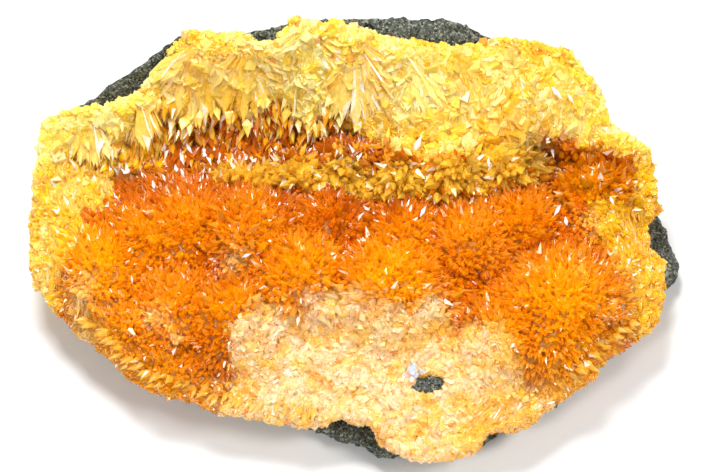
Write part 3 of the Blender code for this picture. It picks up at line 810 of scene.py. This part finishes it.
def make_orange_crystals(skin, quads):
    """The orange dogteeth of the mounds: a tuft on each large crystal of the model, and a carpet between."""
    rng = np.random.default_rng(4)
    place = tuft_places()
    x, y, height = place[:, 0], place[:, 1], place[:, 2]
    foot = np.stack([x, y, crust_top(x, y) - ROOT_DEPTH], -1)
    axis = unit(radiating(foot) + place[:, 3:])
    each = TUFT_CRYSTALS
    spread = rng.normal(0, 0.3, (len(place), each, 3))
    spread[:, 0] = 0
    directions = unit(axis[:, None] + spread).reshape(-1, 3)
    reach = (height[:, None] * rng.uniform(0.5, 0.76, (len(place), each))).reshape(-1)
    start = np.repeat(foot, each, 0) + rng.normal(0, 1.3, (len(directions), 3)) * (1, 1, 0.2)
    start[:, :2] *= np.minimum(1, 0.92 / crust_share(start[:, 0], start[:, 1]))[:, None]
    start[:, 2] = np.minimum(start[:, 2], crust_top(start[:, 0], start[:, 1]) - 1)
    root = start - directions * 1.2
    tint = calcite_colour(start + rng.normal(0, 0.8, start.shape))
    length = (reach + 1.2) * (1 - 0.25 * on_ends(start[:, 0], start[:, 1])[1])
    width = rng.uniform(1.3, 2.1, len(length))
    tufts = crystals("tufts", root, directions, length, width, tint, rng, sides=5, shoulder=0.5)

    def druse(centre, normal):
        x, y = centre[:, 0], centre[:, 1]
        ends = 0.7 * on_ends(x, y)[0] + 0.85 * on_ends(x, y)[1]
        open_place = (1 - on_front(x, y)) * (1 - on_wall(x, y)) * (1 - 0.5 * hollow_share(x, y))
        return open_place * (1 - ends) * (normal[:, 2] > -0.3)

    spot, normal = skin_points(skin, quads, CARPET_COUNT, rng, druse)
    directions = unit(0.75 * radiating(spot) + 0.5 * normal + rng.normal(0, 0.27, spot.shape))
    at_edge = smooth_step(0.88, 1.0, crust_share(spot[:, 0], spot[:, 1]))
    length = rng.uniform(1.7, 2.9, len(spot)) * (1 - 0.35 * at_edge)
    root = spot - directions * 0.9
    tint = calcite_colour(spot + rng.normal(0, 0.8, spot.shape))
    width = rng.uniform(0.8, 1.5, len(spot))
    carpet = crystals("carpet", root, directions, length, width, tint, rng, sides=5, shoulder=0.5)
    return joined("orange_crystals", [tufts, carpet])


def make_golden_crystals(skin, quads):
    """Larger clear golden dogteeth along the lip, down in the hollow and at the right-hand end."""
    rng = np.random.default_rng(7)

    def lip(centre, normal):
        x, y = centre[:, 0], centre[:, 1]
        right = smooth_step(34, 40, x) * smooth_step(5, 8, y)
        wanted = np.clip(on_lip(x, y) + hollow_share(x, y) + 0.5 * right, 0, 1)
        return wanted * (1 - on_wall(x, y)) * (normal[:, 2] > 0) * (crust_share(x, y) < 0.94)

    spot, normal = skin_points(skin, quads, GOLDEN_COUNT, rng, lip)
    in_hollow = (hollow_share(spot[:, 0], spot[:, 1]) * (1 - on_lip(spot[:, 0], spot[:, 1])))[:, None]
    standing = 0.3 * radiating(spot) + 0.7 * normal + (0, -0.4, 0)
    hanging = 0.3 * normal + (0, -0.9, -0.3)
    directions = unit(standing + (hanging - standing) * in_hollow + rng.normal(0, 0.3, spot.shape))
    length = rng.uniform(3, 5.2, len(spot))
    root = spot - directions * 1.4 + normal * 0.9 * in_hollow
    tint = calcite_colour(spot + rng.normal(0, 0.8, spot.shape)) * rng.uniform(0.85, 1.25, (len(spot), 1))
    golden = in_hollow[:, 0] * (rng.random(len(spot)) < 0.3)
    tint = mix(tint, linear(GOLD), golden)
    width = length * rng.uniform(0.34, 0.5, len(spot)) * (1 - 0.25 * in_hollow[:, 0])
    return crystals("golden_crystals", root, directions, length, width, tint, rng, shoulder=0.55, glint_share=0.035)


def fan_blades(x, y, reach, opening, count, width, rng, lift, flat):
    """Long crystals that spread down the wall from one place near its rim, lying on its face."""
    spread = np.radians(rng.uniform(-opening, opening, count))
    length = reach * rng.uniform(0.6, 1.12, count) * (1 - 0.25 * np.abs(spread))
    foot = np.array([x, y, crust_top(x, y) - 0.8]) + rng.normal(0, 0.6, (count, 3)) * (1, 0.6, 0.3)
    tip_x = foot[:, 0] + length * np.sin(spread)
    tip_y = foot[:, 1] - length * np.cos(spread)
    on_face = crust_top(tip_x, np.maximum(tip_y, look_up(WALL_FOOT, tip_x)))
    tip = np.stack([tip_x, tip_y, on_face - 0.3 + rng.uniform(*lift, count)], -1)
    axis = tip - foot
    middle = (foot + tip) / 2
    tint = calcite_colour(middle) * rng.uniform(0.92, 1.04, (count, 1))
    size = np.linalg.norm(axis, axis=1)
    across = rng.uniform(*width, count)
    return crystals(
        "fan", foot, unit(axis), size, across, tint, rng, 4, 0.72, flat=flat, glint_share=0.025, pale=True
    )


def make_fans():
    """Fans of long pale crystals down the back wall: broad blades with fibres laid over them."""
    rng = np.random.default_rng(12)
    parts = []
    for x, y, reach in FANS:
        middle = -36 < x < 15
        share, opening = (1, 64) if middle else (0.3, 30)
        blades, fibres = int(FAN_BLADE_COUNT * share), int(FAN_FIBRE_COUNT * share)
        parts.append(fan_blades(x, y, reach, opening, blades, (1.6, 2.9), rng, (-0.3, 0.2), 0.14))
        parts.append(fan_blades(x, y, 0.95 * reach, opening, fibres, (0.3, 0.65), rng, (-0.1, 0.4), 0.4))
    return joined("fan_blades", parts)


def make_hanging_teeth():
    """Pointed pale crystals that hang from the foot of the wall over the hollow."""
    rng = np.random.default_rng(37)
    x = rng.uniform(*HANGING_REACH, HANGING_COUNT)
    y = look_up(WALL_LINE, x) + rng.uniform(-0.3, 2, len(x))
    place = np.stack([x, y, crust_top(x, y) - 0.2], -1)
    axis = unit(np.array([0, -1, -0.2]) + rng.normal(0, 0.22, place.shape))
    length = rng.uniform(2.6, 4.6, len(x))
    tint = mix(pale_colour(place), linear(GOLD), rng.uniform(0, 0.7, len(x)))
    width = rng.uniform(1.3, 2.4, len(x))
    return crystals(
        "hanging_teeth", place, axis, length, width, tint, rng, 6, 0.4, flat=0.4, glint_share=0.03, pale=True
    )


def make_columns():
    """Long yellow crystals that lie side by side along the edge at both ends and at the front's right."""
    rng = np.random.default_rng(31)
    parts = []
    for low, high, way in COLUMNS:
        count = int(COLUMNS_A_DEGREE * (high - low))
        angle = np.radians(rng.uniform(low, high, count))
        share = rng.uniform(0.86, 0.97, count)
        away = look_up(CRUST_REACH, np.degrees(angle) % 360) * share
        x, y = away * np.cos(angle), away * np.sin(angle)
        place = np.stack([x, y, crust_top(x, y) - 1.3 - 5 * np.maximum(0, share - 0.96)], -1)
        tangent = np.stack([-np.sin(angle), np.cos(angle), np.full(count, -0.2)], -1) * (way, way, 1)
        outward = np.stack([np.cos(angle), np.sin(angle), np.full(count, -0.3)], -1)
        axis = unit(tangent + 0.22 * outward + rng.normal(0, 0.1, place.shape))
        length = rng.uniform(3.5, 7.5, count)
        width = rng.uniform(0.7, 1.6, count)
        tint = calcite_colour(place) * rng.uniform(0.88, 1.08, (count, 1))
        root = place - 0.5 * length[:, None] * axis
        parts.append(
            crystals("columns", root, axis, length, width, tint, rng, 5, 0.55, glint_share=0.03, pale=True)
        )
    return joined("edge_columns", parts)


def make_teeth():
    """Single yellow teeth that stand out from the front's edge."""
    rng = np.random.default_rng(33)
    parts = []
    for low, high in TEETH:
        count = int(TEETH_A_DEGREE * (high - low))
        angle = np.radians(np.linspace(low, high, count) + rng.uniform(-0.5, 0.5, count))
        away = look_up(CRUST_REACH, np.degrees(angle) % 360) - TOOTH_INSET
        x, y = away * np.cos(angle), away * np.sin(angle)
        for level in (1.2, 3.4):
            place = np.stack([x, y, crust_top(x, y) - level], -1) + rng.normal(0, 0.5, (count, 3))
            axis = np.stack([np.cos(angle), np.sin(angle), np.full(count, 0.05)], -1)
            axis = unit(axis + rng.normal(0, 0.16, axis.shape))
            length = rng.uniform(2.4, 3.4, count)
            tint = mix(calcite_colour(place), linear(STRAW), np.full(count, 0.6))
            width = rng.uniform(1.1, 1.8, count)
            parts.append(crystals("teeth", place, axis, length, width, tint, rng, 6, 0.45, pale=True))
    return joined("edge_teeth", parts)


def skewed_blocks(name, centre, normal, size, tint, rng):
    """Cleaved blocks: each is a skewed box turned roughly along the normal, its faces a little uneven."""
    count = len(centre)
    corner = np.array(list(np.ndindex(2, 2, 2))) - 0.5
    quad = np.array([(0, 1, 3, 2), (4, 6, 7, 5), (0, 4, 5, 1), (2, 3, 7, 6), (0, 2, 6, 4), (1, 5, 7, 3)])
    template = np.vstack([quad[:, [0, 1, 2]], quad[:, [0, 2, 3]]])
    first = unit(normal + rng.normal(0, 0.8, centre.shape))
    second = unit(np.cross(first, rng.normal(0, 1, centre.shape)))
    third = np.cross(first, second) + 0.35 * second
    sides = np.stack([first, second, third], 1) * size[:, None, None] * rng.uniform(0.7, 1.3, (count, 3, 1))
    points = centre[:, None] + np.einsum("ck,nkd->ncd", corner, sides)
    faces = (template[None] + (np.arange(count) * 8)[:, None, None]).reshape(-1, 3)
    sheet = np.tile(rng.uniform(0.94, 1.06, (count, 6)), (1, 2))
    # Corners above the block's middle are paler and those below deeper in colour: painted light on top,
    # painted shade underneath
    above = ((points - centre[:, None]) * normal[:, None]).sum(-1) / size[:, None]
    share = smooth_step(-0.5, 0.6, above)[:, template][..., None]
    shade = PALE_ROOT_PAINTED_SHADE + (PALE_TIP_PAINTED_LIGHT - PALE_ROOT_PAINTED_SHADE) * share
    corner_tint = tint[:, None, None] * sheet[..., None, None] * shade
    return mesh_object(name, points.reshape(-1, 3), faces, np.clip(corner_tint, 0, 1).reshape(-1, 3))


def make_grains(name, skin, quads, count, sizes, seed, wanted):
    """Sugary grains where wanted(x, y) says, sizes across, a few of them stained."""
    rng = np.random.default_rng(seed)

    def open_skin(centre, normal):
        x, y = centre[:, 0], centre[:, 1]
        return wanted(x, y) * (normal[:, 2] > -0.4) * (from_knob(x, y) > 1.1)

    spot, normal = skin_points(skin, quads, count, rng, open_skin)
    size = sizes[0] + (sizes[1] - sizes[0]) * rng.random(len(spot)) ** 2
    centre = spot - 0.15 * size[:, None] * normal
    tint = calcite_colour(spot + rng.normal(0, 0.5, spot.shape)) * rng.uniform(0.92, 1.06, (len(spot), 1))
    stained = (rng.random(len(spot)) < 0.07) * rng.uniform(0.3, 0.9, len(spot))
    return skewed_blocks(name, centre, normal, size, mix(tint, linear(RUST) * STAIN_LIGHT, stained), rng)


def front_wanted(x, y):
    """Where the front's grains lie: on the broken front, the pale spots and the right-hand end."""
    return np.clip(on_front(x, y) + 0.6 * spots(PALE_SPOTS, x, y) + 0.5 * on_ends(x, y)[1], 0, 1)


def wall_wanted(x, y):
    """Where the wall's grains lie: on the back wall and the left-hand end."""
    return np.clip(on_wall(x, y) + 0.7 * on_ends(x, y)[0], 0, 1)


def make_wall_blocks(skin, quads):
    """Larger cleaved blocks of the back wall, most of them towards its right-hand end, and along its rim."""
    rng = np.random.default_rng(23)

    def blocky(centre, normal):
        x, y = centre[:, 0], centre[:, 1]
        away_from_fans = np.clip(smooth_step(4, 12, x) + smooth_step(-33, -38, x), 0.12, 1)
        return on_wall(x, y) * away_from_fans * (normal[:, 2] > -0.2) * (crust_share(x, y) < 0.95)

    spot, normal = skin_points(skin, quads, WALL_BLOCK_COUNT, rng, blocky)
    size = rng.uniform(0.9, 2.2, len(spot))
    centre = spot - 0.3 * size[:, None] * normal
    tint = calcite_colour(spot + rng.normal(0, 0.8, spot.shape)) * rng.uniform(0.82, 0.99, (len(spot), 1))
    return skewed_blocks("wall_blocks", centre, normal, size, tint, rng)


def make_painted_glints():
    """A few flat crystals that show a clear, almost white broken face among the orange ones: painted glints.
    """
    rng = np.random.default_rng(41)
    place = np.array(PAINTED_GLINTS)
    x, y, length = place[:, 0], place[:, 1], place[:, 2]
    turn = np.radians(place[:, 3])
    axis = unit(np.stack([np.cos(turn), np.sin(turn), rng.uniform(-0.2, 0.3, len(x))], -1))
    centre = np.stack([x, y, crust_top(x, y) + 0.9], -1)
    tint = np.tile(linear(GLINT_WHITE), (len(x), 1))
    width = length * rng.uniform(0.3, 0.45, len(x))
    root = centre - 0.5 * length[:, None] * axis
    return crystals("painted_glint_flakes", root, axis, length, width, tint, rng, sides=4, shoulder=0.5, flat=0.5)


def socket(group, name, kind, way="INPUT", value=None):
    """A named way into or out of a node group."""
    made = group.interface.new_socket(name, in_out=way, socket_type=kind)
    if value is not None:
        made.default_value = value
    return made


def link(tree, source, output, target, name):
    """A link from one node's output to another's input, by name."""
    tree.links.new(source.outputs[output], target.inputs[name])


def node(tree, kind, **values):
    """A shader node with its settings, and its sockets' values under their names with underscores."""
    made = tree.nodes.new(kind)
    for name, value in values.items():
        if hasattr(made, name):
            setattr(made, name, value)
        else:
            made.inputs[name.replace("_", " ")].default_value = value
    return made


def veil_group():
    """Cloudy veils inside calcite: a colour in, the same colour lighter and darker by place out."""
    group = bpy.data.node_groups.new("calcite_veils", "ShaderNodeTree")
    socket(group, "Colour", "NodeSocketColor")
    socket(group, "Veil Size", "NodeSocketFloat", value=900.0)
    socket(group, "Strength", "NodeSocketFloat", value=0.5)
    socket(group, "Colour", "NodeSocketColor", "OUTPUT")
    socket(group, "Mask", "NodeSocketFloat", "OUTPUT")
    enter, leave = group.nodes.new("NodeGroupInput"), group.nodes.new("NodeGroupOutput")
    place = group.nodes.new("ShaderNodeTexCoord")
    cloud = node(group, "ShaderNodeTexNoise", Detail=4.0, Roughness=0.6, Distortion=0.8)
    link(group, place, "Object", cloud, "Vector")
    link(group, enter, "Veil Size", cloud, "Scale")
    spread = node(group, "ShaderNodeMapRange", From_Min=0.32, From_Max=0.68)
    link(group, cloud, "Fac", spread, "Value")
    amount = node(group, "ShaderNodeMath", operation="MULTIPLY")
    link(group, spread, "Result", amount, 0)
    link(group, enter, "Strength", amount, 1)
    change = group.nodes.new("ShaderNodeHueSaturation")
    bright = node(group, "ShaderNodeMapRange", From_Min=0.0, From_Max=1.0, To_Min=0.86, To_Max=1.25)
    link(group, amount, "Value", bright, "Value")
    link(group, bright, "Result", change, "Value")
    link(group, enter, "Colour", change, "Color")
    link(group, change, "Color", leave, "Colour")
    link(group, spread, "Result", leave, "Mask")
    return group


def relief_group():
    """Fine relief: two sizes of grain added up as a height."""
    group = bpy.data.node_groups.new("fine_relief", "ShaderNodeTree")
    socket(group, "Coarse Size", "NodeSocketFloat", value=1500.0)
    socket(group, "Fine Size", "NodeSocketFloat", value=6000.0)
    socket(group, "Height", "NodeSocketFloat", "OUTPUT")
    enter, leave = group.nodes.new("NodeGroupInput"), group.nodes.new("NodeGroupOutput")
    place = group.nodes.new("ShaderNodeTexCoord")
    coarse = node(group, "ShaderNodeTexNoise", Detail=3.0)
    fine = node(group, "ShaderNodeTexVoronoi", feature="F1")
    for texture, size in ((coarse, "Coarse Size"), (fine, "Fine Size")):
        link(group, place, "Object", texture, "Vector")
        link(group, enter, size, texture, "Scale")
    total = node(group, "ShaderNodeMath", operation="MULTIPLY_ADD")
    link(group, coarse, "Fac", total, 0)
    total.inputs[1].default_value = 0.7
    link(group, fine, "Distance", total, 2)
    link(group, total, "Value", leave, "Height")
    return group


def new_material(name):
    """An empty material, as (material, its nodes, its shader)."""
    material = bpy.data.materials.new(name)
    material.use_nodes = True
    return material, material.node_tree, material.node_tree.nodes["Principled BSDF"]


def raise_grain(tree, relief, shader, strength, distance):
    """Fine relief on a shader's surface."""
    height = node(tree, "ShaderNodeGroup", node_tree=relief)
    raised = node(tree, "ShaderNodeBump", Strength=strength, Distance=distance)
    link(tree, height, "Height", raised, "Height")
    link(tree, raised, "Normal", shader, "Normal")


def calcite_material(name, veils, relief, rough_range, scatter, bump, radius, clear=0.0):
    """Translucent calcite: its tint from the piece, veiled, glossy where clear and duller where clouded."""
    material, tree, shader = new_material(name)
    tint = node(tree, "ShaderNodeAttribute", attribute_name="tint")
    veil = node(tree, "ShaderNodeGroup", node_tree=veils)
    link(tree, tint, "Color", veil, "Colour")
    link(tree, veil, "Colour", shader, "Base Color")
    gloss = node(tree, "ShaderNodeMapRange", To_Min=rough_range[0], To_Max=rough_range[1])
    link(tree, veil, "Mask", gloss, "Value")
    link(tree, gloss, "Result", shader, "Roughness")
    raise_grain(tree, relief, shader, bump, CALCITE_GRAIN)
    shader.inputs["IOR"].default_value = CALCITE_IOR
    shader.subsurface_method = "BURLEY"
    shader.inputs["Subsurface Weight"].default_value = scatter
    shader.inputs["Subsurface Radius"].default_value = radius
    shader.inputs["Subsurface Scale"].default_value = SCATTER_SCALE
    shader.inputs["Transmission Weight"].default_value = clear
    return material


def blend(tree, share, first, second):
    """Two colours mixed by an output's share; each colour is a value or another node's output."""
    made = node(tree, "ShaderNodeMix", data_type="RGBA")
    factor, colours, mixed = made.inputs[0], made.inputs[6:8], made.outputs[2]
    tree.links.new(share, factor)
    for way_in, colour in zip(colours, (first, second)):
        if isinstance(colour, bpy.types.NodeSocket):
            tree.links.new(colour, way_in)
        else:
            way_in.default_value = colour
    return mixed


def rock_material(relief):
    """Dark fine-grained rock: mottled green-grey with light and black grains, dull and rough."""
    material, tree, shader = new_material("dark_rock")
    place = tree.nodes.new("ShaderNodeTexCoord")
    mottle = node(tree, "ShaderNodeTexNoise", Scale=330.0, Detail=6.0, Roughness=0.72)
    grain = node(tree, "ShaderNodeTexVoronoi", Scale=3300.0)
    for texture in (mottle, grain):
        link(tree, place, "Object", texture, "Vector")
    ground = blend(tree, mottle.outputs["Fac"], (*linear(ROCK_DARK), 1), (*linear(ROCK_MID), 1))
    pick = node(tree, "ShaderNodeSeparateColor")
    link(tree, grain, "Color", pick, "Color")
    light_grain = node(tree, "ShaderNodeMapRange", From_Min=0.66, From_Max=0.9)
    link(tree, pick, "Red", light_grain, "Value")
    flecked = blend(tree, light_grain.outputs["Result"], ground, (*linear(ROCK_FLECK), 1))
    black_grain = node(tree, "ShaderNodeMapRange", From_Min=0.8, From_Max=0.86)
    link(tree, pick, "Green", black_grain, "Value")
    speckled = blend(tree, black_grain.outputs["Result"], flecked, BLACK_GRAIN)
    tree.links.new(speckled, shader.inputs["Base Color"])
    dull = node(tree, "ShaderNodeMapRange", To_Min=0.55, To_Max=0.9)
    link(tree, pick, "Blue", dull, "Value")
    link(tree, dull, "Result", shader, "Roughness")
    raise_grain(tree, relief, shader, 0.6, ROCK_GRAIN)
    return material


def floor_material():
    """Plain matte white."""
    material, _, shader = new_material("studio_floor")
    shader.inputs["Base Color"].default_value = (0.93, 0.93, 0.93, 1)
    shader.inputs["Roughness"].default_value = 0.9
    shader.inputs["Specular IOR Level"].default_value = 0.1
    return material


def make_floor():
    """A wide plain floor, gently raised at its far edge."""
    s, t = np.meshgrid(np.linspace(-1, 1, FLOOR_LINES), np.linspace(-1, 1, FLOOR_LINES))
    rise = 900 * np.maximum(0, t - 0.35) ** 2
    points = np.stack([s * FLOOR_HALF, t * FLOOR_HALF, rise - FLOOR_DROP], -1).reshape(-1, 3)
    steps = np.arange(FLOOR_LINES - 1)
    here = steps[:, None] * FLOOR_LINES + steps[None]
    behind = here + FLOOR_LINES
    quads = np.stack([here, here + 1, behind + 1, behind], -1).reshape(-1, 4)
    floor = mesh_object("floor", points, quads, smooth=True)
    floor.data.materials.append(floor_material())


def area_light(name, place, size, power):
    """A white rectangle of light turned to the middle of the floor."""
    lamp = bpy.data.lights.new(name, "AREA")
    lamp.shape = "RECTANGLE"
    lamp.size, lamp.size_y = size
    lamp.energy = power
    obj = bpy.data.objects.new(name, lamp)
    obj.location = place
    obj.rotation_euler = (-Vector(place)).to_track_quat("-Z", "Y").to_euler()
    bpy.context.scene.collection.objects.link(obj)


def light_and_camera():
    """A bright soft studio and the photograph's high viewpoint through a long lens."""
    world = bpy.data.worlds.new("studio")
    world.use_nodes = True
    world.node_tree.nodes["Background"].inputs["Color"].default_value = (1, 1, 1, 1)
    world.node_tree.nodes["Background"].inputs["Strength"].default_value = WORLD_LIGHT
    bpy.context.scene.world = world
    for light in LIGHTS:
        area_light(*light)
    camera = bpy.data.cameras.new("camera")
    camera.sensor_width = 36
    camera.lens = CAMERA_LENS
    camera.clip_start = 0.01
    obj = bpy.data.objects.new("camera", camera)
    elevation = math.radians(CAMERA_ELEVATION)
    target = Vector(CAMERA_TARGET)
    obj.location = target + Vector((0, -math.cos(elevation), math.sin(elevation))) * CAMERA_AWAY
    obj.rotation_euler = (target - obj.location).to_track_quat("-Z", "Y").to_euler()
    bpy.context.scene.collection.objects.link(obj)
    bpy.context.scene.camera = obj
    bpy.context.scene.view_settings.view_transform = "Standard"
    bpy.context.scene.view_settings.look = "None"
    bpy.context.scene.view_settings.exposure = 0


def main():
    """Builds every piece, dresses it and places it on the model."""
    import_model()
    veils, relief = veil_group(), relief_group()
    rock = make_rock()
    rock.data.materials.append(rock_material(relief))
    base, skin, quads = make_crust()
    druse = calcite_material("orange_calcite", veils, relief, (0.08, 0.25), 0.55, 0.1, (1.0, 0.55, 0.14))
    pale = calcite_material("pale_calcite", veils, relief, (0.1, 0.4), 0.35, 0.3, (1.0, 0.8, 0.4))
    clear = calcite_material("clear_calcite", veils, relief, (0.04, 0.15), 0.3, 0.05, (1.0, 0.6, 0.2), 0.12)
    base.data.materials.append(pale)
    orange = make_orange_crystals(skin, quads)
    golden = make_golden_crystals(skin, quads)
    orange.data.materials.append(druse)
    golden.data.materials.append(clear)
    fans = make_fans()
    columns = make_columns()
    teeth = make_teeth()
    hanging = make_hanging_teeth()
    front_grains = make_grains("front_grains", skin, quads, FRONT_GRAIN_COUNT, (0.35, 1.15), 21, front_wanted)
    wall_grains = make_grains("wall_grains", skin, quads, WALL_GRAIN_COUNT, (0.4, 1.3), 22, wall_wanted)
    wall_blocks = make_wall_blocks(skin, quads)
    glint_flakes = make_painted_glints()
    broken = (fans, columns, teeth, hanging, front_grains, wall_grains, wall_blocks, glint_flakes)
    for piece in broken:
        piece.data.materials.append(pale)
    for piece in (rock, base, orange, golden, *broken):
        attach(piece, "root")
    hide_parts("matrix_rock")
    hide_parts("calcite_crust")
    make_floor()
    light_and_camera()


main()
